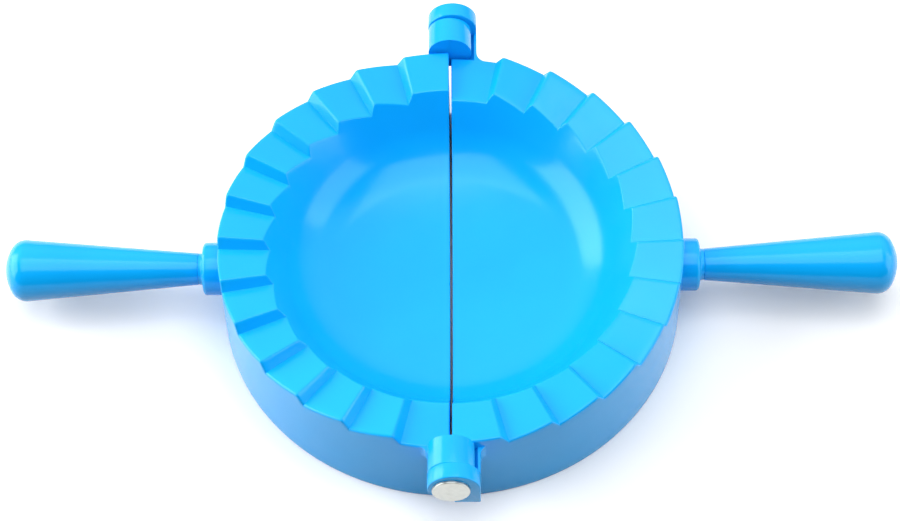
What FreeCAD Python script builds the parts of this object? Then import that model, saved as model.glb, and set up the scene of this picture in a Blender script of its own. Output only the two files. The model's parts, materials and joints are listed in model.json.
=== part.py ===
import FreeCAD, Part
import os
import re
import Sketcher
from FreeCAD import Placement, Rotation, Vector

# An empanada press: two half-round shells side by side, hinged along the Y axis.
# The origin is on the table under the middle of the hinge line. +X points to the
# right handle, +Y to the rear hinge and +Z up. Lengths are in millimetres, angles in degrees.

SIZES = (
    # The toothed rim and the skirt under it
    ("rim_radius", 62.5),
    ("crest_height", 28.8),
    ("tooth_drop", 2.9),
    ("rim_width", 12.4),
    ("crest_fall", 1.4),
    ("trough_fall", 1.0),
    ("tooth_count", 14),
    ("step_angle", 1.8),
    ("crest_angle", 0.6),
    ("wall", 2.2),
    ("half_gap", 0.35),
    # The bowl, from its shallow floor over a bend to a straight sloping side
    ("bowl_base_radius", 31.7),
    ("bowl_bend", 20.0),
    ("base_slope", 12),
    ("wall_slope", 58),
    # The hinge: an inner barrel on the left shell, an outer knuckle and its arm on the right one
    ("hinge_height", 27.7),
    ("barrel_radius", 6.0),
    ("barrel_clearance", 0.4),
    ("barrel_length", 8.0),
    ("barrel_floor", 1.5),
    ("knuckle_radius", 6.8),
    ("knuckle_shift", 0.7),
    ("knuckle_play", 0.2),
    ("knuckle_length", 4.4),
    ("knuckle_low_radius", 5.6),
    ("knuckle_lip", 2.2),
    ("arm_clearance", 0.8),
    ("arm_below_hinge", 2.0),
    ("arm_web", 3.0),
    ("hinge_bite", 3.0),
    ("gusset_radius", 3.2),
    # The pins
    ("pin_diameter", 5.0),
    ("pin_play", 0.05),
    ("pin_end_gap", 0.4),
    ("pin_chamfer", 0.5),
    ("head_diameter", 9.8),
    ("head_thickness", 0.7),
    ("head_edge", 0.25),
    # The boss that carries a handle, and the handle
    ("handle_height", 14.65),
    ("collar_radius", 7.15),
    ("collar_length", 4.7),
    ("shoulder_radius", 1.1),
    ("flare_radius", 0.8),
    ("neck_radius", 4.25),
    ("neck_length", 0.5),
    ("socket_diameter", 5.4),
    ("socket_depth", 9.0),
    ("socket_floor", 2.0),
    ("inner_boss_radius", 5.0),
    ("grip_root_radius", 4.3),
    ("grip_end_radius", 8.4),
    ("grip_taper_length", 46.8),
    ("grip_dome_length", 5.6),
    ("grip_corner_radius", 4.5),
    ("spigot_gap", 0.5),
    ("spigot_chamfer", 0.6),
    # How far a cutting shape runs past the solid that it cuts
    ("overrun", 2.0),
)

# Places and sizes that follow from the ones above
DERIVED = {
    "pitch": "180 / tooth_count",
    "half_step": "step_angle / 2",
    "crest_inner": "rim_radius - rim_width",
    "crest_inner_height": "crest_height - crest_fall",
    "trough_height": "crest_height - tooth_drop",
    "rim_under": "trough_height - trough_fall - wall",
    "skirt_inner": "rim_radius - wall",
    "bowl_sphere": "bowl_base_radius / sin(base_slope)",
    "bend_axis": "bowl_base_radius - bowl_bend * sin(base_slope)",
    "bend_end": "bend_axis + bowl_bend * sin(wall_slope)",
    "bend_height": "crest_inner_height - (crest_inner - bend_end) * tan(wall_slope)"
                   " + bowl_bend * cos(wall_slope)",
    "sphere_height": "bend_height + (bowl_sphere - bowl_bend) * cos(base_slope)",
    "barrel_start": "rim_radius + barrel_clearance",
    "barrel_end": "barrel_start + barrel_length",
    "knuckle_start": "barrel_end + knuckle_play",
    "knuckle_end": "knuckle_start + knuckle_length",
    "knuckle_side": "knuckle_shift + knuckle_radius",
    "arm_inner": "barrel_radius + arm_clearance",
    "arm_top": "hinge_height - arm_below_hinge",
    "block_low": "min(hinge_height - barrel_radius, trough_height - hinge_bite)",
    "arm_low": "min(hinge_height - knuckle_radius, trough_height - hinge_bite)",
    "lip_side": "sqrt(knuckle_low_radius^2 - knuckle_lip^2)",
    "lip_inset": "knuckle_radius - knuckle_shift - lip_side",
    "lip_radius": "(lip_inset^2 + knuckle_lip^2) / (2 * lip_inset)",
    "bore_end": "barrel_start + barrel_floor",
    "collar_end": "rim_radius + collar_length",
    "flare_end": "collar_end + flare_radius",
    "neck_end": "flare_end + neck_length",
    "socket_end": "neck_end - socket_depth",
    "dome_start": "neck_end + grip_taper_length",
    "grip_tip": "dome_start + grip_dome_length",
    "dome_radius": "(grip_dome_length^2 + grip_end_radius^2 - 2 * grip_end_radius * grip_corner_radius)"
                   " / (2 * (grip_dome_length - grip_corner_radius))",
    "dome_share": "dome_radius / (dome_radius - grip_corner_radius)",
}

document = FreeCAD.newDocument("EmpanadaPress")
sheet = document.addObject("Spreadsheet::Sheet", "Sizes")
for row, (name, value) in enumerate(SIZES, start=1):
    sheet.set(f"A{row}", name)
    sheet.set(f"B{row}", str(value))
    sheet.setAlias(f"B{row}", name)
document.recompute()
SIZE_NAMES = {name for name, value in SIZES}


def bound(formula):
    """The formula with every size and derived place written out as cells of the sheet."""
    def cell(match):
        word = match.group()
        if word in SIZE_NAMES:
            return "Sizes." + word
        if word in DERIVED:
            return "(" + bound(DERIVED[word]) + ")"
        return word
    return re.sub(r"[a-z_]+", cell, formula)


def number(formula):
    """What a formula comes to with the sheet as it stands."""
    return float(sheet.evalExpression(re.sub(r"Sizes\.", "", bound(formula))))


def origin_part(body, role):
    """A plane or an axis of the body's own origin."""
    return next(part for part in body.Origin.OriginFeatures if part.Role == role)


def sketch_on(body, name, role, offset="0"):
    """A sketch on one of the body's origin planes, moved along the plane's normal."""
    sketch = body.newObject("Sketcher::SketchObject", name)
    sketch.AttachmentSupport = [(origin_part(body, role), "")]
    sketch.MapMode = "FlatFace"
    sketch.setExpression("AttachmentOffset.Base.z", bound(offset))
    return sketch


def pin_down(sketch, edge, end, across, up):
    """Fix one corner of an outline at its place."""
    if across == "0":
        sketch.addConstraint(Sketcher.Constraint("PointOnObject", edge, end, -2))
    else:
        row = sketch.addConstraint(Sketcher.Constraint("DistanceX", -1, 1, edge, end, number(across)))
        sketch.setExpression(f"Constraints[{row}]", bound(across))
    if up == "0":
        sketch.addConstraint(Sketcher.Constraint("PointOnObject", edge, end, -1))
    else:
        row = sketch.addConstraint(Sketcher.Constraint("DistanceY", -1, 1, edge, end, number(up)))
        sketch.setExpression(f"Constraints[{row}]", bound(up))


def outline(sketch, corners):
    """A closed outline. A corner is (across, up), or (across, up, radius, turn) where an arc
    leads to it, with a turn of 1 for an arc that runs anticlockwise and -1 for clockwise."""
    places = [Vector(number(corner[0]), number(corner[1]), 0) for corner in corners]
    ends = []
    for index, corner in enumerate(corners):
        start = places[index - 1]
        finish = places[index]
        if len(corner) == 2:
            edge = sketch.addGeometry(Part.LineSegment(start, finish), False)
            ends.append((edge, 1, 2))
            continue
        radius = number(corner[2])
        turn = corner[3]
        chord = finish - start
        middle = (start + finish) * 0.5
        reach = max(radius ** 2 - (chord.Length / 2) ** 2, 0) ** 0.5
        side = Vector(-chord.y, chord.x, 0).normalize() * turn
        centre = middle + side * reach
        first, last = (start, finish) if turn > 0 else (finish, start)
        circle = Part.Circle(centre, Vector(0, 0, 1), radius)
        arc = Part.ArcOfCircle(circle, circle.parameter(first), circle.parameter(last))
        edge = sketch.addGeometry(arc, False)
        ends.append((edge, 1, 2) if turn > 0 else (edge, 2, 1))
        row = sketch.addConstraint(Sketcher.Constraint("Radius", edge, radius))
        sketch.setExpression(f"Constraints[{row}]", bound(corner[2]))
    for index, corner in enumerate(corners):
        edge, begin, end = ends[index]
        following, following_begin, following_end = ends[(index + 1) % len(corners)]
        sketch.addConstraint(Sketcher.Constraint("Coincident", edge, end, following, following_begin))
        pin_down(sketch, edge, end, corner[0], corner[1])
    return sketch


def disc(sketch, across, up, radius):
    """A full circle."""
    circle = Part.Circle(Vector(number(across), number(up), 0), Vector(0, 0, 1), number(radius))
    edge = sketch.addGeometry(circle, False)
    row = sketch.addConstraint(Sketcher.Constraint("Radius", edge, number(radius)))
    sketch.setExpression(f"Constraints[{row}]", bound(radius))
    pin_down(sketch, edge, 3, across, up)
    return sketch


def turning_line(sketch, up):
    """A construction line parallel to the sketch's horizontal axis, to revolve about."""
    line = Part.LineSegment(Vector(0, number(up), 0), Vector(number("rim_radius"), number(up), 0))
    edge = sketch.addGeometry(line, True)
    pin_down(sketch, edge, 1, "0", up)
    pin_down(sketch, edge, 2, "rim_radius", up)


def feature(body, kind, name, sketch, **settings):
    """A PartDesign feature on a sketch. Settings that are formulas are bound to the sheet."""
    made = body.newObject("PartDesign::" + kind, name)
    made.Profile = sketch
    for setting, value in settings.items():
        if isinstance(value, str) and setting in ("Length", "Angle"):
            made.setExpression(setting, bound(value))
        else:
            setattr(made, setting, value)
    return made


def finished(body, cuts=()):
    """Recompute the body and stop if a feature failed or a cut took nothing away."""
    document.recompute()
    for made in body.Group:
        if "Invalid" in made.State or "Error" in made.State:
            raise RuntimeError(f"{body.Label}: {made.Name} failed")
    for made in cuts:
        before = made.BaseFeature.Shape.Volume
        if not made.Shape.Volume < before:
            raise RuntimeError(f"{body.Label}: {made.Name} cut nothing")


def bowl_side(offset):
    """Three corners of the bowl's section, moved outward by the offset: the middle of its floor,
    the end of the shallow floor, and the end of the bend, where its sloping side starts."""
    floor = ("0", f"sphere_height - bowl_sphere - {offset}")
    base = (f"(bowl_sphere + {offset}) * sin(base_slope)",
            f"sphere_height - (bowl_sphere + {offset}) * cos(base_slope)")
    bend = (f"bend_axis + (bowl_bend + {offset}) * sin(wall_slope)",
            f"bend_height - (bowl_bend + {offset}) * cos(wall_slope)")
    return floor, base, bend


def side_at(bend, height):
    """How far out the bowl's sloping side is at a height."""
    return f"{bend[0]} + ({height} - ({bend[1]})) / tan(wall_slope)"


def mirrored(corner):
    """The same corner on the other side of the sketch's vertical axis."""
    return ("0" if corner[0] == "0" else f"-({corner[0]})",) + tuple(corner[1:])


def drum(body):
    """The half-round block with the bowl sunk into its top, before it is hollowed."""
    floor, base, bend = bowl_side("0")
    sketch = sketch_on(body, "DrumSection", "XZ_Plane")
    outline(sketch, [
        ("0", "0"),
        ("rim_radius", "0"),
        ("rim_radius", "crest_height"),
        ("crest_inner", "crest_inner_height"),
        bend,
        base + ("bowl_bend", -1),
        floor + ("bowl_sphere", -1),
    ])
    feature(body, "Revolution", "Drum", sketch, ReferenceAxis=(sketch, ["V_Axis"]),
            Angle=180, Midplane=True)


def rim_height(top, fall, radius):
    """The height of a crest or trough line at a radius."""
    return f"{top} - {fall} * (rim_radius - {radius}) / rim_width"


def notch_section(body, name, reach):
    """The space over one tooth's ramp, at a distance along the X axis: up the step face on one
    side, and up the ramp to the next crest on the other."""
    ramp_angle = "(pitch - half_step - crest_angle)"
    trough = f"({reach}) * tan(half_step)"
    crest = f"({reach}) * tan{ramp_angle}"
    top = "crest_height + overrun"
    sketch = sketch_on(body, name, "YZ_Plane", reach)
    return outline(sketch, [
        (trough, rim_height("trough_height", "trough_fall", f"({reach})")),
        (crest, rim_height("crest_height", "crest_fall", f"({reach}) / cos{ramp_angle}")),
        (crest, top),
        (f"-({trough})", top),
        (f"-({trough})", rim_height("crest_height", "crest_fall", f"({reach})")),
    ])


def low_land_section(body, name, reach):
    """The space over the level tooth at the rear hinge, at a distance along the Y axis."""
    trough = f"({reach}) * tan(pitch - half_step)"
    crest = f"({reach}) * tan(pitch + half_step)"
    top = "crest_height + overrun"
    level = rim_height("trough_height", "trough_fall", f"({reach})")
    sketch = sketch_on(body, name, "XZ_Plane", f"-({reach})")
    return outline(sketch, [
        (trough, level),
        (crest, rim_height("crest_height", "crest_fall", f"({reach}) / cos(pitch + half_step)")),
        (crest, top),
        ("-overrun", top),
        ("-overrun", level),
    ])


def teeth(body):
    """Twelve ramped teeth between a level low one at the rear and a level high one in front."""
    outside = "rim_radius + overrun"
    inside = "crest_inner - 2 * tooth_drop"
    notch = feature(body, "SubtractiveLoft", "Notch", notch_section(body, "NotchOuter", outside),
                    Sections=[notch_section(body, "NotchInner", inside)], Ruled=True)
    finished(body, [notch])
    axis = (origin_part(body, "Z_Axis"), [""])
    for name, backward, copies in (("NotchesRear", False, "tooth_count / 2 - 1"),
                                   ("NotchesFront", True, "tooth_count / 2")):
        pattern = body.newObject("PartDesign::PolarPattern", name)
        pattern.Originals = [notch]
        pattern.Axis = axis
        pattern.Reversed = backward
        pattern.setExpression("Angle", bound(f"pitch * ({copies} - 1)"))
        pattern.setExpression("Occurrences", bound(copies))
        body.Tip = pattern
        finished(body, [pattern])
    low_land = feature(body, "SubtractiveLoft", "LowLand", low_land_section(body, "LandOuter", outside),
                       Sections=[low_land_section(body, "LandInner", inside)], Ruled=True)
    finished(body, [low_land])


def hinge_gap(body):
    """The straight edge stands back from the hinge line."""
    sketch = sketch_on(body, "GapOutline", "YZ_Plane")
    outline(sketch, [
        ("-(rim_radius + overrun)", "-overrun"),
        ("rim_radius + overrun", "-overrun"),
        ("rim_radius + overrun", "crest_height + overrun"),
        ("-(rim_radius + overrun)", "crest_height + overrun"),
    ])
    gap = feature(body, "Pocket", "Gap", sketch, Length="half_gap", Reversed=True)
    finished(body, [gap])


def hollow(body):
    """The space under the bowl and the rim, open at the bottom, and the straight wall that
    closes it along the hinge line."""
    floor, base, bend = bowl_side("wall")
    sketch = sketch_on(body, "HollowSection", "XZ_Plane")
    outline(sketch, [
        ("0", "-overrun"),
        ("skirt_inner", "-overrun"),
        ("skirt_inner", "rim_under"),
        (side_at(bend, "rim_under"), "rim_under"),
        bend,
        base + ("bowl_bend + wall", -1),
        floor + ("bowl_sphere + wall", -1),
    ])
    cavity = feature(body, "Groove", "Hollow", sketch, ReferenceAxis=(sketch, ["V_Axis"]),
                     Angle=180, Midplane=True)
    finished(body, [cavity])
    floor, base, bend = bowl_side("wall / 2")
    outer = "rim_radius - wall / 2"
    top = "rim_under + wall / 2"
    inner = side_at(bend, top)
    sketch = sketch_on(body, "EndWallOutline", "YZ_Plane", "half_gap")
    outline(sketch, [
        (outer, "0"),
        (outer, top),
        (inner, top),
        bend,
        base + ("bowl_bend + wall / 2", -1),
        floor + ("bowl_sphere + wall / 2", -1),
        mirrored(base) + ("bowl_sphere + wall / 2", -1),
        mirrored(bend) + ("bowl_bend + wall / 2", -1),
        mirrored((inner, top)),
        mirrored((outer, top)),
        mirrored((outer, "0")),
    ])
    feature(body, "Pad", "EndWall", sketch, Length="wall")
    finished(body)


def boss(body):
    """The collar and neck that carry the handle, with a socket for its spigot."""
    start = "rim_radius - wall / 2"
    sketch = sketch_on(body, "BossSection", "XZ_Plane")
    outline(sketch, [
        (start, "handle_height"),
        ("neck_end", "handle_height"),
        ("neck_end", "handle_height + neck_radius"),
        ("flare_end", "handle_height + neck_radius"),
        ("collar_end", "handle_height + neck_radius + flare_radius", "flare_radius", -1),
        ("collar_end", "handle_height + collar_radius - shoulder_radius"),
        ("collar_end - shoulder_radius", "handle_height + collar_radius", "shoulder_radius", 1),
        (start, "handle_height + collar_radius"),
    ])
    turning_line(sketch, "handle_height")
    feature(body, "Revolution", "Boss", sketch, ReferenceAxis=(sketch, ["Axis0"]), Angle=360)
    inner_start = "socket_end - socket_floor"
    sketch = disc(sketch_on(body, "InnerBossOutline", "YZ_Plane", inner_start),
                  "0", "handle_height", "inner_boss_radius")
    feature(body, "Pad", "InnerBoss", sketch, Length=f"{start} - ({inner_start})")
    sketch = disc(sketch_on(body, "SocketOutline", "YZ_Plane", "neck_end"),
                  "0", "handle_height", "socket_diameter / 2")
    socket = feature(body, "Pocket", "Socket", sketch, Length="socket_depth")
    finished(body, [socket])


def along_hinge(body, name, near):
    """A sketch across the hinge line, at a distance towards the rear."""
    return sketch_on(body, name, "XZ_Plane", f"-({near})")


def inner_outline(sketch):
    """The round inner barrel, square in its lower quarter on the shell's side."""
    low = "hinge_height - barrel_radius"
    return outline(sketch, [
        ("0", low, "barrel_radius", 1),
        ("barrel_radius", low),
        ("barrel_radius", "hinge_height"),
        ("0", "hinge_height + barrel_radius", "barrel_radius", 1),
        ("-barrel_radius", "hinge_height", "barrel_radius", 1),
    ])


def outer_outline(sketch):
    """The outer knuckle, square in its lower quarter on the arm's side. On the other side a
    rounded lip draws it in to a smaller radius about the pin."""
    low = "hinge_height - knuckle_radius"
    return outline(sketch, [
        ("knuckle_shift", low),
        ("knuckle_side", low),
        ("knuckle_side", "hinge_height"),
        ("knuckle_shift", "hinge_height + knuckle_radius", "knuckle_radius", 1),
        ("knuckle_shift - knuckle_radius", "hinge_height", "knuckle_radius", 1),
        ("-lip_side", "hinge_height - knuckle_lip", "lip_radius", 1),
        ("knuckle_shift", "hinge_height - sqrt(knuckle_low_radius^2 - knuckle_shift^2)",
         "knuckle_low_radius", 1),
    ])


def gusset(body, name, side, low, high):
    """A concave web between a hinge arm and the skirt."""
    foot = f"({side} + gusset_radius)"
    touch = f"(sqrt(rim_radius^2 - {foot}^2) - wall / 8)"
    root = f"{side} - wall / 4"
    sketch = sketch_on(body, name + "Outline", "XY_Plane", low)
    outline(sketch, [
        (foot, touch),
        (side, f"{touch} + gusset_radius", "gusset_radius", -1),
        (root, f"{touch} + gusset_radius"),
        (root, f"{touch} - wall / 4"),
        (foot, f"{touch} - wall / 4"),
    ])
    return feature(body, "Pad", name, sketch, Length=f"{high} - ({low})")


def both_ends(body, made):
    """Repeat the rear hinge's features at the front."""
    mirror = body.newObject("PartDesign::Mirrored", "FrontHinge")
    mirror.Originals = made
    mirror.MirrorPlane = (origin_part(body, "XZ_Plane"), [""])
    body.Tip = mirror
    finished(body)


def inner_knuckles(body):
    """The barrels beside the rim, carried by the left shell, each with a blind bore."""
    root = "rim_radius - wall / 2"
    sketch = along_hinge(body, "BlockOutline", root)
    outline(sketch, [
        ("half_gap", "block_low"),
        ("barrel_radius", "block_low"),
        ("barrel_radius", "arm_top"),
        ("half_gap", "arm_top"),
    ])
    block = feature(body, "Pad", "BarrelBlock", sketch, Length=f"barrel_end - ({root})", Reversed=True)
    sketch = along_hinge(body, "BarrelOutline", "barrel_start")
    inner_outline(sketch)
    barrel = feature(body, "Pad", "Barrel", sketch, Length="barrel_length", Reversed=True)
    web = gusset(body, "BarrelGusset", "barrel_radius", "block_low", "arm_top")
    sketch = disc(along_hinge(body, "BoreOutline", "barrel_end"),
                  "0", "hinge_height", "pin_diameter / 2 + pin_play")
    bore = feature(body, "Pocket", "PinBore", sketch, Length="barrel_length - barrel_floor", Reversed=True)
    finished(body, [bore])
    both_ends(body, [block, barrel, web, bore])


def outer_knuckles(body):
    """The end knuckles carried by arms of the right shell, each with a bore for its pin, whose
    head lies on the knuckle's end."""
    root = "rim_radius - wall / 2"
    corner = "knuckle_side - arm_web - arm_clearance"
    sketch = along_hinge(body, "ArmOutline", root)
    outline(sketch, [
        (corner, "arm_low"),
        ("knuckle_side", "arm_low"),
        ("knuckle_side", "arm_top"),
        ("arm_inner", "arm_top"),
        ("arm_inner", "arm_top - arm_clearance"),
        (corner, "arm_low + arm_clearance"),
    ])
    arm = feature(body, "Pad", "Arm", sketch, Length=f"knuckle_start + knuckle_play - ({root})",
                  Reversed=True)
    sketch = along_hinge(body, "KnuckleOutline", "knuckle_start")
    outer_outline(sketch)
    knuckle = feature(body, "Pad", "Knuckle", sketch, Length="knuckle_length", Reversed=True)
    web = gusset(body, "ArmGusset", "knuckle_side", "arm_low", "arm_top")
    sketch = disc(along_hinge(body, "BoreOutline", "knuckle_end"),
                  "0", "hinge_height", "pin_diameter / 2")
    bore = feature(body, "Pocket", "PinBore", sketch, Length="knuckle_length", Reversed=True)
    finished(body, [bore])
    both_ends(body, [arm, knuckle, web, bore])


def shell(name, turn, knuckles):
    """One half of the press. Both halves have the same drum, teeth and boss, half a turn apart."""
    body = document.addObject("PartDesign::Body", name)
    body.Label = name
    drum(body)
    finished(body)
    teeth(body)
    hinge_gap(body)
    hollow(body)
    boss(body)
    knuckles(body)
    body.Placement = Placement(Vector(0, 0, 0), Rotation(Vector(0, 0, 1), turn))
    return body


def handle(name, turn):
    """A tapered grip with a domed end, turned about the X axis, with a spigot for the socket."""
    body = document.addObject("PartDesign::Body", name)
    body.Label = name
    spigot = "socket_diameter / 2"
    spigot_end = "socket_end + spigot_gap"
    dome_centre = "(grip_tip - dome_radius)"
    sketch = sketch_on(body, "GripSection", "XZ_Plane")
    outline(sketch, [
        (spigot_end, "0"),
        ("grip_tip", "0"),
        (f"{dome_centre} + (dome_start - {dome_centre}) * dome_share",
         "(grip_end_radius - grip_corner_radius) * dome_share", "dome_radius", 1),
        ("dome_start", "grip_end_radius", "grip_corner_radius", 1),
        ("neck_end", "grip_root_radius"),
        ("neck_end", spigot),
        (f"{spigot_end} + spigot_chamfer", spigot),
        (spigot_end, f"{spigot} - spigot_chamfer"),
    ])
    feature(body, "Revolution", "Grip", sketch, ReferenceAxis=(sketch, ["H_Axis"]), Angle=360)
    finished(body)
    body.Placement = Placement(Vector(0, 0, 0), Rotation(Vector(0, 0, 1), turn))
    body.setExpression("Placement.Base.z", bound("handle_height"))
    return body


def hinge_pin(name, side):
    """A headed pin, turned about its own Z axis, with the underside of its head at its origin."""
    body = document.addObject("PartDesign::Body", name)
    body.Label = name
    shank = "pin_diameter / 2"
    length = "knuckle_end - (bore_end + pin_end_gap)"
    head = "head_diameter / 2"
    sketch = sketch_on(body, "PinSection", "XZ_Plane")
    outline(sketch, [
        ("0", f"-({length})"),
        (f"{shank} - pin_chamfer", f"-({length})"),
        (shank, f"-({length}) + pin_chamfer"),
        (shank, "0"),
        (head, "0"),
        (head, "head_thickness - head_edge"),
        (f"{head} - head_edge", "head_thickness", "head_edge", 1),
        ("0", "head_thickness"),
    ])
    feature(body, "Revolution", "Pin", sketch, ReferenceAxis=(sketch, ["V_Axis"]), Angle=360)
    finished(body)
    body.Placement = Placement(Vector(0, 0, 0), Rotation(Vector(1, 0, 0), -90 * side))
    body.setExpression("Placement.Base.y", bound(f"{side} * knuckle_end"))
    body.setExpression("Placement.Base.z", bound("hinge_height"))
    return body


pieces = [
    shell("left_shell", 180, inner_knuckles),
    shell("right_shell", 0, outer_knuckles),
    handle("left_handle", 180),
    handle("right_handle", 0),
    hinge_pin("front_hinge_pin", -1),
    hinge_pin("rear_hinge_pin", 1),
]
document.recompute()

for item in document.Objects:
    if "Invalid" in item.State or "Error" in item.State:
        raise RuntimeError(f"{item.Name} failed to recompute")
for piece in pieces:
    if piece.Shape.isNull() or not piece.Shape.isValid() or len(piece.Shape.Solids) != 1:
        raise RuntimeError(f"{piece.Label} is not one valid solid")

os.makedirs("parts", exist_ok=True)
for piece in pieces:
    piece.Shape.exportStep(f"parts/{piece.Label}.step")
    print(piece.Label, round(piece.Shape.Volume), "cubic millimetres")
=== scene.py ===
import json
import math

import bmesh
import bpy
import numpy as np
from mathutils import Matrix, Vector


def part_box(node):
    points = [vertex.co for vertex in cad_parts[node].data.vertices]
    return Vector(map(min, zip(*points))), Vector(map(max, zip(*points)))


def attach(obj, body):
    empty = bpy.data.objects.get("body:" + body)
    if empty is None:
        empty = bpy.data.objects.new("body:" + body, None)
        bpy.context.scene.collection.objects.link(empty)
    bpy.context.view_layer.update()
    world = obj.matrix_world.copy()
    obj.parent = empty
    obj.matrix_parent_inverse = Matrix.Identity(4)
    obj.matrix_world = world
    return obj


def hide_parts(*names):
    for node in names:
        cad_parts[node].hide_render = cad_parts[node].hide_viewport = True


# The looks of a folding dough press: two toothed half bowls, their handles and hinge pins.
# Shapes are worked out in millimetres and turned into metres when a mesh is made.

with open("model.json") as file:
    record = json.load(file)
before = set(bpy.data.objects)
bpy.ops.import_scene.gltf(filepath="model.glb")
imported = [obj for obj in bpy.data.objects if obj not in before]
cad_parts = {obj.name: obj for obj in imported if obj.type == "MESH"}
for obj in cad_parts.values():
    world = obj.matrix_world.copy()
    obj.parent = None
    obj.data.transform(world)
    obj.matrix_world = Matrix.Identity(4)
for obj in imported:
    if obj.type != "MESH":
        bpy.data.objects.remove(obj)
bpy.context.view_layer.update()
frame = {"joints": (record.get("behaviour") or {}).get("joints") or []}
MM = 0.001

# Sizes that the frame gives
HINGE_HEIGHT = frame["joints"][0]["pos_m"][2] / MM
NECK_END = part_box("right_shell")[1].x / MM
GRIP_LOW, GRIP_HIGH = (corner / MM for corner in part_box("right_handle"))
PIN_LOW, PIN_HIGH = (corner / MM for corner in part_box("rear_hinge_pin"))
HANDLE_HEIGHT = (GRIP_LOW.z + GRIP_HIGH.z) / 2

# The toothed rim and the skirt
RIM_RADIUS = 62.5
RIM_WIDTH = 12.4
CREST_HEIGHT = 28.8
TOOTH_DROP = 2.9
CREST_FALL = 1.4
TROUGH_FALL = 1.0
TEETH = 14
PITCH = 180 / TEETH
HALF_STEP = 0.9
CREST_ANGLE = 0.6
WALL = 2.2
HALF_GAP = 0.35

# The bowl
BASE_RADIUS = 31.7
BEND_RADIUS = 20.0
BASE_SLOPE = math.radians(12)
WALL_SLOPE = math.radians(58)

# The hinge
BARREL_RADIUS = 6.0
BARREL_END = 70.9
BORE_RADIUS = 2.55
BORE_START = 64.4
KNUCKLE_RADIUS = 6.8
KNUCKLE_SHIFT = 0.7
KNUCKLE_START = 71.1
KNUCKLE_END = 75.5
LOW_RADIUS = 5.6
LIP_DROP = 2.2
ARM_INNER = 6.8
ARM_TOP = HINGE_HEIGHT - 2.0
ARM_WEB = 3.0
ARM_CLEARANCE = 0.8
GUSSET_RADIUS = 3.2

# The collar, its socket and the grip
COLLAR_RADIUS = 7.15
COLLAR_END = RIM_RADIUS + 4.7
SHOULDER = 1.1
FLARE = 0.8
NECK_RADIUS = 4.25
SOCKET_RADIUS = 2.7
SOCKET_END = NECK_END - 9.0
INNER_BOSS_RADIUS = 5.0
INNER_BOSS_START = SOCKET_END - 2.0
GRIP_ROOT_RADIUS = 4.3
GRIP_END_RADIUS = (GRIP_HIGH.z - GRIP_LOW.z) / 2
DOME_LENGTH = 5.6
DOME_START = GRIP_HIGH.x - DOME_LENGTH
CORNER_RADIUS = 4.5
SPIGOT_CHAMFER = 0.6

# The pin
SHANK_RADIUS = 2.5
HEAD_RADIUS = (PIN_HIGH.x - PIN_LOW.x) / 2
HEAD_EDGE = 0.25
PIN_CHAMFER = 0.5

# How far moulded edges are rounded
CREST_ROUND_ANGLE = 0.4
RIM_ROUND = 0.7
BOWL_ROUND = 0.7
STRAIGHT_ROUND = 0.3
FOOT_ROUND = 0.35
HINGE_ROUND = 0.35
SEAM_ROUND = 0.18

# How near the bowl's grid comes to its straight wall, and how far solids that are joined stand
# back from each other's faces
NEAR_GAP = STRAIGHT_ROUND + 0.05
STEP_BACK = 0.02

# The columns of a shell, by angle: how many stand across each rounded edge and how far they reach,
# in shares of its rounding, how far from a tooth's edge the evenly spaced ones begin, and the last
# one before the straight wall
EDGE_COLUMNS = 7
EDGE_REACH = 1.15
EDGE_CLEARANCE = 0.9
COLUMN_SPACING = 1.1
LAST_ANGLE = 89.0
ROUNDING_SAMPLES = 15
STRAIGHT_STEPS = 5

# Steps round the turned pieces
COLLAR_STEPS = 112
GRIP_STEPS = 144
PIN_STEPS = 96
BORE_STEPS = 64

# Points of the mesh nearer than this are one, and edges shorter than this go
SAME_POINT = 0.002
SHORT_EDGE = 0.001


def arc(centre, radius, start, end, count):
    """Points on an arc about a centre, between two angles in degrees."""
    turns = np.radians(np.linspace(start, end, count))
    return [(centre[0] + radius * math.cos(t), centre[1] + radius * math.sin(t)) for t in turns]


def spread(start, end, count):
    """Points evenly spaced between two others."""
    shares = np.linspace(0, 1, count + 2)[1:-1]
    return [(start[0] + (end[0] - start[0]) * s, start[1] + (end[1] - start[1]) * s) for s in shares]


def made(name, vertices, faces):
    """A mesh object from points in millimetres, with its normals turned outward."""
    mesh = bpy.data.meshes.new(name)
    mesh.from_pydata([tuple(value * MM for value in point) for point in vertices], [], faces)
    shape = bmesh.new()
    shape.from_mesh(mesh)
    bmesh.ops.recalc_face_normals(shape, faces=shape.faces)
    shape.to_mesh(mesh)
    shape.free()
    piece = bpy.data.objects.new(name, mesh)
    bpy.context.scene.collection.objects.link(piece)
    return piece


# The bowl's section: a shallow floor, a bend and a straight sloping side
CREST_INNER = RIM_RADIUS - RIM_WIDTH
CREST_INNER_HEIGHT = CREST_HEIGHT - CREST_FALL
BEND_AXIS = BASE_RADIUS - BEND_RADIUS * math.sin(BASE_SLOPE)
BEND_HEIGHT = (CREST_INNER_HEIGHT + BEND_RADIUS * math.cos(WALL_SLOPE)
               - (CREST_INNER - BEND_AXIS - BEND_RADIUS * math.sin(WALL_SLOPE)) * math.tan(WALL_SLOPE))
SPHERE_RADIUS = BASE_RADIUS / math.sin(BASE_SLOPE)
SPHERE_HEIGHT = BEND_HEIGHT + (SPHERE_RADIUS - BEND_RADIUS) * math.cos(BASE_SLOPE)


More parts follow.
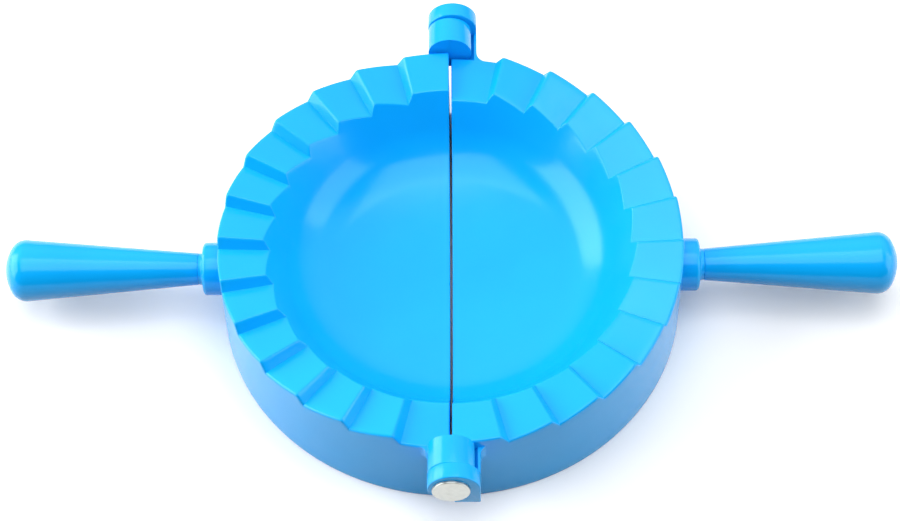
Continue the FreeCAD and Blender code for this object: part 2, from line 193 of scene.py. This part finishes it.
def bowl_section(offset, start):
    """The bowl's floor and bend, moved outward by the offset, from a first radius to the end of
    the bend."""
    sphere = SPHERE_RADIUS + offset
    first = math.asin(start / sphere)
    floor = [(sphere * math.sin(t), SPHERE_HEIGHT - sphere * math.cos(t))
             for t in np.linspace(first, BASE_SLOPE, 26)]
    bend = [(BEND_AXIS + (BEND_RADIUS + offset) * math.sin(t),
             BEND_HEIGHT - (BEND_RADIUS + offset) * math.cos(t))
            for t in np.linspace(BASE_SLOPE, WALL_SLOPE, 25)[1:]]
    return floor + bend


def tooth_share(angle):
    """How high the rim stands at an angle, from 0 in a trough to 1 on a crest, with each crest
    rounded and each trough sharp."""
    knots = [(-100.0, 1.0)]
    last = TEETH // 2 - 1
    for step in range(-last, last + 1):
        knots.append((step * PITCH - HALF_STEP, 1.0))
        knots.append((step * PITCH + HALF_STEP, 0.0))
        if step < last:
            knots.append(((step + 1) * PITCH - HALF_STEP - CREST_ANGLE, 1.0))
    knots.append((100.0, 0.0))
    places, shares = zip(*knots)
    offsets = np.linspace(-CREST_ROUND_ANGLE, CREST_ROUND_ANGLE, ROUNDING_SAMPLES)
    rounded = np.mean([np.interp(angle + offset, places, shares) for offset in offsets])
    return float(min(rounded, np.interp(angle, places, shares)))


def column_angles():
    """The angles of the shell's columns: close together round each tooth's edges."""
    edge = np.linspace(-EDGE_REACH, EDGE_REACH, EDGE_COLUMNS) * CREST_ROUND_ANGLE
    clear = HALF_STEP + EDGE_CLEARANCE
    found = set()
    last = TEETH // 2 - 1
    for step in range(-last - 1, last + 2):
        centre = step * PITCH
        for knot in (-HALF_STEP - CREST_ANGLE, -HALF_STEP, HALF_STEP):
            found.update(np.round(centre + knot + edge, 4))
        found.update(np.round(centre + np.arange(clear, PITCH - clear, COLUMN_SPACING), 4))
        found.add(round(centre, 4))
    return sorted(angle for angle in found if abs(angle) < LAST_ANGLE) + [LAST_ANGLE]


def corner_arc(corner, into, out, radius, count):
    """A clockwise corner of a section, rounded. Directions are angles in radians."""
    turn = into - out
    reach = radius * math.tan(turn / 2)
    start = (corner[0] - reach * math.cos(into), corner[1] - reach * math.sin(into))
    centre = (start[0] + radius * math.sin(into), start[1] - radius * math.cos(into))
    places = []
    for share in np.linspace(0, 1, count):
        heading = into - turn * share
        places.append((centre[0] - radius * math.sin(heading), centre[1] + radius * math.cos(heading)))
    return places


def section(angle):
    """The outer section of a shell at an angle, from the middle of the bowl to the skirt's foot."""
    share = tooth_share(angle)
    fall = TROUGH_FALL + (CREST_FALL - TROUGH_FALL) * share
    top = CREST_HEIGHT - TOOTH_DROP * (1 - share)
    slope = fall / RIM_WIDTH
    rise = math.tan(WALL_SLOPE)
    inner = (top - slope * RIM_RADIUS - CREST_INNER_HEIGHT + CREST_INNER * rise) / (rise - slope)
    inner_top = top - slope * (RIM_RADIUS - inner)
    lean = math.atan(slope)
    points = bowl_section(0, HALF_GAP + NEAR_GAP)
    side = corner_arc((inner, inner_top), WALL_SLOPE, lean, BOWL_ROUND, 7)
    edge = corner_arc((RIM_RADIUS, top), lean, -math.pi / 2, RIM_ROUND, 7)
    foot = corner_arc((RIM_RADIUS, 0), -math.pi / 2, -math.pi, FOOT_ROUND, 4)
    points += spread(points[-1], side[0], 7) + side
    points += spread(side[-1], edge[0], 9) + edge
    return points + spread(edge[-1], foot[0], 16), foot


def inner_section():
    """The section of the hollow under a shell, from the skirt's foot to the middle."""
    skirt = RIM_RADIUS - WALL
    under = CREST_HEIGHT - TOOTH_DROP - TROUGH_FALL - WALL
    points = bowl_section(WALL, HALF_GAP + WALL + NEAR_GAP)
    run = (under - points[-1][1]) / math.tan(WALL_SLOPE)
    top = (points[-1][0] + run, under)
    rising = spread((skirt, FOOT_ROUND), (skirt, under), 8)
    lowering = spread(top, points[-1], 4)
    return ([(skirt + FOOT_ROUND, 0), (skirt, FOOT_ROUND)] + rising + [(skirt, under)]
            + spread((skirt, under), top, 4) + [top] + lowering + points[::-1])


def drum_columns():
    """The columns of a shell: angle, turn of the straight wall's rounded edge in degrees, outer
    section and foot."""
    turns = np.linspace(90, 0, STRAIGHT_STEPS)
    first = [(-90, turn, *section(-90)) for turn in turns]
    last = [(90, turn, *section(90)) for turn in turns[::-1]]
    return first + [(angle, 0.0, *section(angle)) for angle in column_angles()] + last


def drawn_in(outer, drop):
    """A section moved inward by the drop, half as far at its last point."""
    line = np.array(outer)
    tangent = np.gradient(line, axis=0)
    normal = np.stack([-tangent[:, 1], tangent[:, 0]], 1)
    normal /= np.linalg.norm(normal, axis=1)[:, None]
    fade = np.ones(len(line))
    fade[-1] = 0.5
    return line - normal * (drop * fade)[:, None]


def wall_angle(distance, radius):
    """The angle in degrees at which a circle comes this near to the hinge line."""
    return math.degrees(math.acos(min(1.0, distance / radius)))


def column_points(angle, turn, outer, foot, inner):
    """The points of one column. Columns fan out to the straight wall, and the last ones round off
    its edge."""
    is_end = abs(angle) == 90
    stand, drop = STRAIGHT_ROUND, 0.0
    if is_end:
        stand = STRAIGHT_ROUND * (1 - math.sin(math.radians(turn)))
        drop = STRAIGHT_ROUND * (1 - math.cos(math.radians(turn)))
    points = []
    for gap, run in ((HALF_GAP, list(drawn_in(outer, drop)) + foot), (HALF_GAP + WALL, inner)):
        for radius, height in run:
            if is_end:
                bearing = math.copysign(wall_angle(gap + stand, radius), angle)
            else:
                bearing = angle * min(1.0, wall_angle(gap + STRAIGHT_ROUND, radius) / LAST_ANGLE)
            bearing = math.radians(bearing)
            points.append((radius * math.cos(bearing), radius * math.sin(bearing), height))
    return points


def drum_faces(columns, rows, outer_rows):
    """The faces between columns, and those that close the middle and the straight wall."""
    faces = []
    for column in range(columns - 1):
        for row in range(rows - 1):
            a = column * rows + row
            faces.append((a, a + 1, a + rows + 1, a + rows))
    first, last = 0, (columns - 1) * rows
    faces.append(list(range(first, last + 1, rows)))
    faces.append(list(range(first + rows - 1, last + rows, rows))[::-1])
    faces.append([first + row for row in range(outer_rows)][::-1]
                 + [last + row for row in range(outer_rows)])
    faces.append([first + row for row in range(outer_rows, rows)]
                 + [last + row for row in range(outer_rows, rows)][::-1])
    faces.append([first + outer_rows - 1, last + outer_rows - 1, last + outer_rows, first + outer_rows])
    return faces


def drum(name):
    """A shell without its collar and hinge: a grid of columns round the bowl, each a closed
    section, and the straight wall along the hinge line."""
    inner = inner_section()
    columns = drum_columns()
    vertices = [point for column in columns for point in column_points(*column, inner)]
    rows = len(vertices) // len(columns)
    piece = made(name, vertices, drum_faces(len(columns), rows, rows - len(inner)))
    shape = bmesh.new()
    shape.from_mesh(piece.data)
    bmesh.ops.remove_doubles(shape, verts=shape.verts, dist=SAME_POINT * MM)
    bmesh.ops.dissolve_degenerate(shape, edges=shape.edges, dist=SHORT_EDGE * MM)
    bmesh.ops.recalc_face_normals(shape, faces=shape.faces)
    shape.to_mesh(piece.data)
    shape.free()
    return piece


def lathe(name, outline, place, steps):
    """A solid turned about its own X axis from points (along, radius), then put in its place."""
    vertices = []
    rings = []
    for along, radius in outline:
        if radius == 0:
            rings.append([len(vertices)])
            vertices.append((along, 0, 0))
            continue
        rings.append(range(len(vertices), len(vertices) + steps))
        for step in range(steps):
            turn = 2 * math.pi * step / steps
            vertices.append((along, radius * math.cos(turn), radius * math.sin(turn)))
    faces = []
    for here, there in zip(rings, rings[1:]):
        for step in range(steps):
            after = (step + 1) % steps
            loop = [here[step % len(here)], here[after % len(here)],
                    there[after % len(there)], there[step % len(there)]]
            faces.append(list(dict.fromkeys(loop)))
    piece = made(name, vertices, faces)
    piece.data.transform(place)
    return piece


def prism(name, outline, near, far, rounded_ends=(), rounded_corners=0.0):
    """An outline (across, up) stretched along Y. Edges of the named ends and sharp outline corners
    are rounded."""
    count = len(outline)
    vertices = [(x, near, z) for x, z in outline] + [(x, far, z) for x, z in outline]
    faces = [list(range(count)), list(range(count, 2 * count))[::-1]]
    for index in range(count):
        after = (index + 1) % count
        faces.append((index, after, count + after, count + index))
    piece = made(name, vertices, faces)
    shape = bmesh.new()
    shape.from_mesh(piece.data)
    chosen = []
    for edge in shape.edges:
        ends = {round(vertex.co.y / MM, 3) for vertex in edge.verts}
        if len(ends) == 1:
            if ends.pop() in [round(value, 3) for value in rounded_ends]:
                chosen.append(edge)
        elif rounded_corners and edge.calc_face_angle(0) > math.radians(40) and edge.is_convex:
            chosen.append(edge)
    if chosen:
        bmesh.ops.bevel(shape, geom=chosen, offset=HINGE_ROUND * MM, segments=4, profile=0.5,
                        affect="EDGES", clamp_overlap=True)
    shape.to_mesh(piece.data)
    shape.free()
    return piece


def mirrored(piece):
    """A copy of a hinge piece at the front."""
    copy = piece.copy()
    copy.data = piece.data.copy()
    copy.name = piece.name + "_front"
    bpy.context.scene.collection.objects.link(copy)
    copy.data.transform(Matrix.Scale(-1, 4, (0, 1, 0)))
    copy.data.flip_normals()
    return copy


def combine(base, added, cut=()):
    """The base with solids added and others cut away, as one closed mesh."""
    for parts, operation in ((added, "UNION"), (cut, "DIFFERENCE")):
        for part in parts:
            modifier = base.modifiers.new("combine", "BOOLEAN")
            modifier.operation = operation
            modifier.solver = "EXACT"
            modifier.object = part
    bpy.context.view_layer.update()
    whole = base.evaluated_get(bpy.context.evaluated_depsgraph_get())
    mesh = bpy.data.meshes.new_from_object(whole)
    base.modifiers.clear()
    base.data = mesh
    for part in list(added) + list(cut):
        bpy.data.objects.remove(part)
    return base


def smoothed(piece, angle=32):
    """Smooth shading that stops at edges sharper than an angle."""
    piece.data.polygons.foreach_set("use_smooth", [True] * len(piece.data.polygons))
    piece.data.set_sharp_from_angle(angle=math.radians(angle))
    return piece


def collar():
    """The collar and neck on a skirt, with the socket for the grip's spigot, along X."""
    root = RIM_RADIUS - WALL / 2
    outline = [(INNER_BOSS_START, 0), (INNER_BOSS_START, INNER_BOSS_RADIUS), (root, INNER_BOSS_RADIUS),
               (root, COLLAR_RADIUS)]
    outline += spread(outline[-1], (COLLAR_END - SHOULDER, COLLAR_RADIUS), 3)
    outline += arc((COLLAR_END - SHOULDER, COLLAR_RADIUS - SHOULDER), SHOULDER, 90, 0, 9)
    outline += arc((COLLAR_END + FLARE, NECK_RADIUS + FLARE), FLARE, 180, 270, 8)
    outline += [(NECK_END - SEAM_ROUND, NECK_RADIUS),
                (NECK_END - SEAM_ROUND / 3, NECK_RADIUS - SEAM_ROUND / 3),
                (NECK_END, NECK_RADIUS - SEAM_ROUND)]
    outline += [(NECK_END, SOCKET_RADIUS), (SOCKET_END, SOCKET_RADIUS), (SOCKET_END, 0)]
    return lathe("collar", outline, Matrix.Translation((0, 0, HANDLE_HEIGHT * MM)), COLLAR_STEPS)


def bored(near, far, radius):
    """A cylinder along the hinge axis, to cut a bore with."""
    place = Matrix.Translation((0, 0, HINGE_HEIGHT * MM)) @ Matrix.Rotation(math.pi / 2, 4, "Z")
    return lathe("bore", [(near, 0), (near, radius), (far, radius), (far, 0)], place, BORE_STEPS)


def gusset(name, side, low, high):
    """The concave web between a hinge arm and the skirt, seen from above, stretched upward."""
    foot = side + GUSSET_RADIUS
    touch = math.sqrt(RIM_RADIUS ** 2 - foot ** 2) - WALL / 8
    curve = arc((foot, touch + GUSSET_RADIUS), GUSSET_RADIUS, 180, 270, 13)
    outline = curve + [(foot, touch - WALL / 4), (side - WALL / 4, touch - WALL / 4),
                       (side - WALL / 4, touch + GUSSET_RADIUS)]
    count = len(outline)
    vertices = [(x, y, low) for x, y in outline] + [(x, y, high) for x, y in outline]
    faces = [list(range(count)), list(range(count, 2 * count))[::-1]]
    faces += [(i, (i + 1) % count, count + (i + 1) % count, count + i) for i in range(count)]
    return made(name, vertices, faces)


def inner_knuckle():
    """A barrel beside the rim, with its block and web."""
    radius = BARREL_RADIUS
    low = HINGE_HEIGHT - radius
    root = RIM_RADIUS - WALL / 2
    barrel = ([(radius, low), (radius, HINGE_HEIGHT)]
              + arc((0, HINGE_HEIGHT), radius, 0, 270, 61)[1:])
    foot = low + STEP_BACK
    side = radius - STEP_BACK
    block = [(HALF_GAP, foot), (side, foot), (side, ARM_TOP), (HALF_GAP, ARM_TOP)]
    return [
        prism("barrel", barrel, RIM_RADIUS + 0.4, BARREL_END, (BARREL_END,), HINGE_ROUND),
        prism("barrel_block", block, root, BARREL_END - 2 * HINGE_ROUND),
        gusset("barrel_gusset", side, foot + STEP_BACK, ARM_TOP - STEP_BACK),
    ]


def outer_knuckle():
    """The end knuckle with its arm and web."""
    radius = KNUCKLE_RADIUS
    low = HINGE_HEIGHT - radius
    side = KNUCKLE_SHIFT + radius
    root = RIM_RADIUS - WALL / 2
    lip_side = math.sqrt(LOW_RADIUS ** 2 - LIP_DROP ** 2)
    inset = radius - KNUCKLE_SHIFT - lip_side
    lip = (inset ** 2 + LIP_DROP ** 2) / (2 * inset)
    lip_turn = math.degrees(math.asin(LIP_DROP / lip))
    left = KNUCKLE_SHIFT - radius
    start = 180 + math.degrees(math.asin(LIP_DROP / LOW_RADIUS))
    end = 270 + math.degrees(math.asin(KNUCKLE_SHIFT / LOW_RADIUS))
    outline = [(KNUCKLE_SHIFT, low), (side, low), (side, HINGE_HEIGHT)]
    outline += arc((KNUCKLE_SHIFT, HINGE_HEIGHT), radius, 0, 180, 49)[1:]
    outline += arc((left + lip, HINGE_HEIGHT), lip, 180, 180 + lip_turn, 7)[1:]
    outline += arc((0, HINGE_HEIGHT), LOW_RADIUS, start, end, 17)[1:]
    corner = side - ARM_WEB - ARM_CLEARANCE
    foot = low + STEP_BACK
    flank = side - STEP_BACK
    arm = [(corner, foot), (flank, foot), (flank, ARM_TOP), (ARM_INNER, ARM_TOP),
           (ARM_INNER, ARM_TOP - ARM_CLEARANCE), (corner, foot + ARM_CLEARANCE)]
    return [
        prism("knuckle", outline, KNUCKLE_START, KNUCKLE_END, (KNUCKLE_START, KNUCKLE_END),
              HINGE_ROUND),
        prism("arm", arm, root, KNUCKLE_END - 2 * HINGE_ROUND),
        gusset("arm_gusset", flank, foot + STEP_BACK, ARM_TOP - STEP_BACK),
    ]


def shell(side, knuckle, bore):
    """One whole half of the press: the drum with its collar, hinge knuckles and bores."""
    base = drum(side + "_half_moulding")
    hinge = knuckle()
    if side == "left":
        base.data.transform(Matrix.Rotation(math.pi, 4, "Z"))
        for part in hinge:
            part.data.transform(Matrix.Scale(-1, 4, (1, 0, 0)))
            part.data.flip_normals()
    boss = collar()
    if side == "left":
        boss.data.transform(Matrix.Rotation(math.pi, 4, "Z"))
    hinge += [mirrored(part) for part in hinge]
    bores = [bored(*bore), bored(-bore[0], -bore[1], bore[2])]
    combine(base, [boss] + hinge, bores)
    return smoothed(base)


def grip(side):
    """A tapered grip with a domed end and its hidden spigot."""
    middle = GRIP_END_RADIUS - CORNER_RADIUS
    rise = DOME_LENGTH ** 2 + GRIP_END_RADIUS ** 2 - 2 * GRIP_END_RADIUS * CORNER_RADIUS
    dome = rise / (2 * (DOME_LENGTH - CORNER_RADIUS))
    centre = GRIP_HIGH.x - dome
    meet = math.degrees(math.atan2(middle, DOME_START - centre))
    start = GRIP_LOW.x
    outline = [(start, 0), (start, SOCKET_RADIUS - SPIGOT_CHAMFER),
               (start + SPIGOT_CHAMFER, SOCKET_RADIUS),
               (NECK_END, SOCKET_RADIUS), (NECK_END, GRIP_ROOT_RADIUS - SEAM_ROUND)]
    outline += [(NECK_END + SEAM_ROUND / 3, GRIP_ROOT_RADIUS - SEAM_ROUND / 3),
                (NECK_END + SEAM_ROUND, GRIP_ROOT_RADIUS)]
    outline += spread(outline[-1], (DOME_START, GRIP_END_RADIUS), 24)
    outline += arc((DOME_START, middle), CORNER_RADIUS, 90, meet, 17)
    outline += arc((centre, 0), dome, meet, 0, 13)[1:-1] + [(GRIP_HIGH.x, 0)]
    place = Matrix.Translation((0, 0, HANDLE_HEIGHT * MM))
    if side == "left":
        place = Matrix.Rotation(math.pi, 4, "Z") @ place
    return smoothed(lathe(side + "_grip", outline, place, GRIP_STEPS))


def pin(side):
    """A headed pin along the hinge axis."""
    start, end = PIN_LOW.y, PIN_HIGH.y
    outline = [(start, 0), (start, SHANK_RADIUS - PIN_CHAMFER), (start + PIN_CHAMFER, SHANK_RADIUS),
               (KNUCKLE_END, SHANK_RADIUS), (KNUCKLE_END, HEAD_RADIUS)]
    outline += spread(outline[-1], (end - HEAD_EDGE, HEAD_RADIUS), 1)
    outline += arc((end - HEAD_EDGE, HEAD_RADIUS - HEAD_EDGE), HEAD_EDGE, 90, 0, 6)
    outline += [(end, HEAD_RADIUS / 2), (end, 0)]
    place = Matrix.Translation((0, 0, HINGE_HEIGHT * MM)) @ Matrix.Rotation(math.pi / 2, 4, "Z")
    if side == "front":
        place = Matrix.Rotation(math.pi, 4, "Z") @ place
    return smoothed(lathe(side + "_pin", outline, place, PIN_STEPS))


# Colours, in linear light
PLASTIC_DEEP = (0.003, 0.395, 0.94, 1)
PLASTIC_PALE = (0.004, 0.425, 0.98, 1)
PLASTIC_SHEEN = (0.52, 0.92, 1.0, 1)
PIN_DULL = (0.43, 0.44, 0.41, 1)
PIN_BRIGHT = (0.60, 0.61, 0.57, 1)

# The table: half its width, and how pale it is to the eye and where it lights the object
TABLE_HALF = 3000
TABLE_SEEN = 0.98
TABLE_LIT = 0.3


def shader(name):
    """A node material, its shader, and a function that adds a node."""
    material = bpy.data.materials.new(name)
    material.use_nodes = True
    nodes = material.node_tree.nodes

    def add(kind, **settings):
        node = nodes.new("ShaderNode" + kind)
        for key, value in settings.items():
            if key in node.inputs:
                node.inputs[key].default_value = value
            else:
                setattr(node, key, value)
        return node
    return material, nodes["Principled BSDF"], add, material.node_tree.links.new


def tones(ramp, low, high, start=0.0, end=1.0):
    """A colour ramp from one colour to another."""
    for element, place, colour in zip(ramp.color_ramp.elements, (start, end), (low, high)):
        element.position = place
        element.color = colour
    return ramp


def blue_plastic():
    """Glossy moulded plastic: a faint drift of colour, a fine skin that blurs its gloss here and
    there, and a soft unevenness as left by the mould."""
    material, surface, add, link = shader("blue_plastic")
    place = add("TexCoord")
    drift = add("TexNoise", Scale=45.0, Detail=3.0)
    shade = tones(add("ValToRGB"), PLASTIC_DEEP, PLASTIC_PALE, 0.3, 0.75)
    link(place.outputs["Object"], drift.inputs["Vector"])
    link(drift.outputs["Fac"], shade.inputs["Fac"])
    link(shade.outputs["Color"], surface.inputs["Base Color"])
    skin = add("TexNoise", Scale=240.0, Detail=5.0)
    gloss = add("MapRange", **{"From Min": 0.3, "From Max": 0.7, "To Min": 0.15, "To Max": 0.22})
    link(place.outputs["Object"], skin.inputs["Vector"])
    link(skin.outputs["Fac"], gloss.inputs["Value"])
    link(gloss.outputs["Result"], surface.inputs["Roughness"])
    wave = add("TexNoise", Scale=110.0, Detail=2.0)
    uneven = add("Bump", Strength=0.25, Distance=0.00005)
    grain = add("TexNoise", Scale=1800.0, Detail=2.0)
    peel = add("Bump", Strength=0.12, Distance=0.00002)
    link(place.outputs["Object"], wave.inputs["Vector"])
    link(place.outputs["Object"], grain.inputs["Vector"])
    link(wave.outputs["Fac"], uneven.inputs["Height"])
    link(grain.outputs["Fac"], peel.inputs["Height"])
    link(uneven.outputs["Normal"], peel.inputs["Normal"])
    link(peel.outputs["Normal"], surface.inputs["Normal"])
    surface.inputs["Specular Tint"].default_value = PLASTIC_SHEEN
    surface.inputs["IOR"].default_value = 1.5
    return material


def pin_metal():
    """Bright plated metal with a fine turned grain and a slight haze."""
    material, surface, add, link = shader("pin_metal")
    place = add("TexCoord")
    haze = add("TexNoise", Scale=700.0, Detail=4.0)
    tone = tones(add("ValToRGB"), PIN_DULL, PIN_BRIGHT)
    polish = add("MapRange", **{"To Min": 0.22, "To Max": 0.42})
    grain = add("Bump", Strength=0.2, Distance=0.00003)
    link(place.outputs["Object"], haze.inputs["Vector"])
    link(haze.outputs["Fac"], tone.inputs["Fac"])
    link(tone.outputs["Color"], surface.inputs["Base Color"])
    link(haze.outputs["Fac"], polish.inputs["Value"])
    link(polish.outputs["Result"], surface.inputs["Roughness"])
    link(haze.outputs["Fac"], grain.inputs["Height"])
    link(grain.outputs["Normal"], surface.inputs["Normal"])
    surface.inputs["Metallic"].default_value = 1.0
    return material


def dressed(piece, material, node, body):
    """Give a piece its material and let it stand for its node."""
    piece.data.materials.clear()
    piece.data.materials.append(material)
    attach(piece, body)
    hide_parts(node)


def floor():
    """A plain table top under the object: white to the eye, and grey where it lights the object."""
    corners = [(x * TABLE_HALF, y * TABLE_HALF, 0) for x, y in ((-1, -1), (1, -1), (1, 1), (-1, 1))]
    piece = made("floor", corners, [(0, 1, 2, 3)])
    material, surface, add, link = shader("table")
    path = add("LightPath")
    seen = add("Math", operation="MAXIMUM")
    shown = add("Math", operation="MAXIMUM")
    shade = add("MapRange", **{"To Min": TABLE_LIT, "To Max": TABLE_SEEN})
    link(path.outputs["Is Camera Ray"], seen.inputs[0])
    link(path.outputs["Is Glossy Ray"], seen.inputs[1])
    link(seen.outputs[0], shown.inputs[0])
    link(path.outputs["Is Transmission Ray"], shown.inputs[1])
    link(shown.outputs[0], shade.inputs["Value"])
    link(shade.outputs["Result"], surface.inputs["Base Color"])
    surface.inputs["Roughness"].default_value = 0.7
    piece.data.materials.append(material)


# The photograph's camera
ELEVATION = math.radians(56.906)
YAW = math.radians(1.051)
ROLL = math.radians(-1.414)
TARGET = Vector((-0.45, 11.56, 0)) * MM
DISTANCE = 742.2 * MM
LENS = 106.6

# How bright the room behind the object is, near the floor and high up
ROOM_LOW = 0.35
ROOM_HIGH = 1.1


def camera():
    """A camera at the photograph's place."""
    back = Vector((math.sin(YAW) * math.cos(ELEVATION), -math.cos(YAW) * math.cos(ELEVATION),
                   math.sin(ELEVATION)))
    right = (-back).cross(Vector((0, 0, 1))).normalized()
    up = right.cross(-back)
    across = right * math.cos(ROLL) + up * math.sin(ROLL)
    upward = -right * math.sin(ROLL) + up * math.cos(ROLL)
    data = bpy.data.cameras.new("camera")
    data.lens = LENS
    data.sensor_width = 36
    data.clip_start = 0.01
    data.clip_end = 100
    piece = bpy.data.objects.new("camera", data)
    bpy.context.scene.collection.objects.link(piece)
    piece.matrix_world = Matrix.Translation(TARGET + back * DISTANCE) @ Matrix(
        (across, upward, back)).transposed().to_4x4()
    bpy.context.scene.camera = piece


def softbox(name, bearing, zenith, distance, width, height, glow):
    """A soft lamp that faces the object. Its bearing is counted from the rear towards the right,
    its zenith angle from straight up, both in degrees, and its glow is the brightness of its face."""
    bearing, zenith = math.radians(bearing), math.radians(zenith)
    away = Vector((math.sin(zenith) * math.sin(bearing), math.sin(zenith) * math.cos(bearing),
                   math.cos(zenith)))
    data = bpy.data.lights.new(name, "AREA")
    data.shape = "RECTANGLE"
    data.size = width
    data.size_y = height
    data.energy = glow * math.pi * width * height
    piece = bpy.data.objects.new(name, data)
    bpy.context.scene.collection.objects.link(piece)
    piece.matrix_world = (Matrix.Translation(away * distance)
                          @ away.to_track_quat("Z", "Y").to_matrix().to_4x4())


def fading(nodes, start, end, low, high):
    """A smooth change of the room's light from low to high between two directions."""
    node = nodes.new("ShaderNodeMapRange")
    node.interpolation_type = "SMOOTHSTEP"
    for socket, value in (("From Min", start), ("From Max", end), ("To Min", low), ("To Max", high)):
        node.inputs[socket].default_value = value
    return node


def studio():
    """Soft lamps overhead, to the left and to the right. The room is bright high up behind and
    fades towards the front and the floor."""
    softbox("top_lamp", 170, 9, 1.3, 1.25, 1.1, 2.6)
    softbox("left_lamp", -86, 70, 1.1, 1.2, 1.0, 4.3)
    softbox("right_lamp", 100, 71, 1.2, 0.9, 1.0, 2.6)
    world = bpy.data.worlds.new("room")
    bpy.context.scene.world = world
    world.use_nodes = True
    nodes, link = world.node_tree.nodes, world.node_tree.links.new
    background = nodes["Background"]
    place = nodes.new("ShaderNodeTexCoord")
    parts = nodes.new("ShaderNodeSeparateXYZ")
    behind = fading(nodes, -0.1, 0.2, 0.0, 1.0)
    high = fading(nodes, 0.1, 0.7, ROOM_LOW, ROOM_HIGH)
    bright = nodes.new("ShaderNodeMath")
    bright.operation = "MULTIPLY"
    link(place.outputs["Generated"], parts.inputs[0])
    link(parts.outputs["Y"], behind.inputs["Value"])
    link(parts.outputs["Z"], high.inputs["Value"])
    link(behind.outputs["Result"], bright.inputs[0])
    link(high.outputs["Result"], bright.inputs[1])
    link(bright.outputs[0], background.inputs["Strength"])
    background.inputs["Color"].default_value = (1, 1, 1, 1)


plastic = blue_plastic()
metal = pin_metal()
dressed(shell("left", inner_knuckle, (BORE_START, BARREL_END + 1, BORE_RADIUS)), plastic,
        "left_shell", "left_half")
dressed(shell("right", outer_knuckle, (KNUCKLE_START - 1, KNUCKLE_END + 1, SHANK_RADIUS)), plastic,
        "right_shell", "right_half")
dressed(grip("left"), plastic, "left_handle", "left_half")
dressed(grip("right"), plastic, "right_handle", "right_half")
dressed(pin("front"), metal, "front_hinge_pin", "right_half")
dressed(pin("rear"), metal, "rear_hinge_pin", "right_half")
floor()
camera()
studio()
bpy.context.scene.view_settings.view_transform = "Standard"
